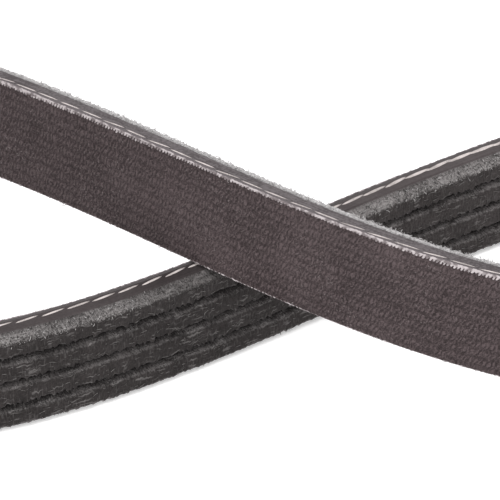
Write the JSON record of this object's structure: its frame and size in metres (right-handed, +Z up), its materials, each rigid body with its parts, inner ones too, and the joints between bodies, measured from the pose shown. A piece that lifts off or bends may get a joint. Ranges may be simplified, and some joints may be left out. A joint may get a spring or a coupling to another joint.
{
  "type": "serpentine belt",
  "caption": "Endless ribbed drive belt laid on edge in a figure of eight, with V-ribs on one face, a woven fabric back and its cord layer showing at the cut edges.",
  "frame": {"origin": "on the floor, under the middle of the belt's bounding box", "axes": "+X along the figure of eight, towards the lobe whose ribs face inwards; +Y away from the camera side; +Z up, across the belt's width"},
  "size_m": [0.2434, 0.0824, 0.029],
  "materials": {
    "rib_rubber": "matte, ground rib faces with short pale fibres",
    "cord_layer": "cut rubber with pale polyester cord showing",
    "back_fabric": "rubberised woven fabric, matte"
  },
  "bodies": {
    "root": {"ribbed_body": "rib_rubber", "tensile_cord_layer": "cord_layer", "backing_fabric": "back_fabric"}
  },
  "joints": []
}
